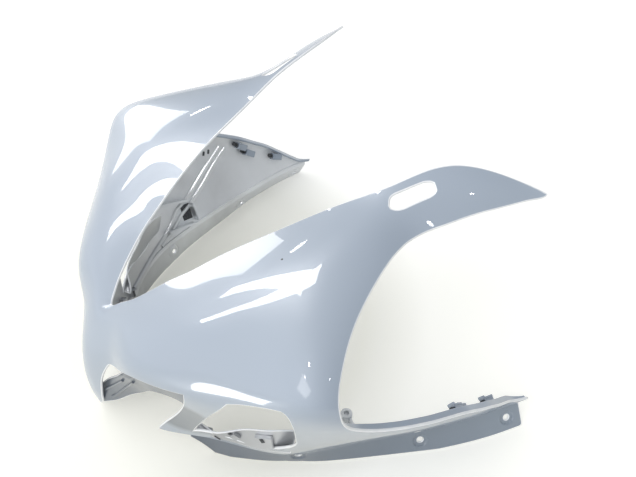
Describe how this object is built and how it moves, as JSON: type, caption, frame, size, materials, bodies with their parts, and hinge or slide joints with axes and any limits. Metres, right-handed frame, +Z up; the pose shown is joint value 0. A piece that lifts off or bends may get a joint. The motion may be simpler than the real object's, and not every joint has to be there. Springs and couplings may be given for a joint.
{
  "type": "motorcycle front fairing",
  "caption": "Thin-walled upper nose fairing with a central column, wide headlight openings, screen arms, side bars and a fastening flange.",
  "frame": {"origin": "bottom centre of the bounding box, on the plane the flange stands on", "axes": "+X to the rider's right, -Y towards the nose, +Z up"},
  "size_m": [0.5296, 0.4296, 0.289],
  "materials": {
    "paint": "gloss"
  },
  "bodies": {
    "root": {"fairing_shell": "paint"}
  },
  "joints": []
}
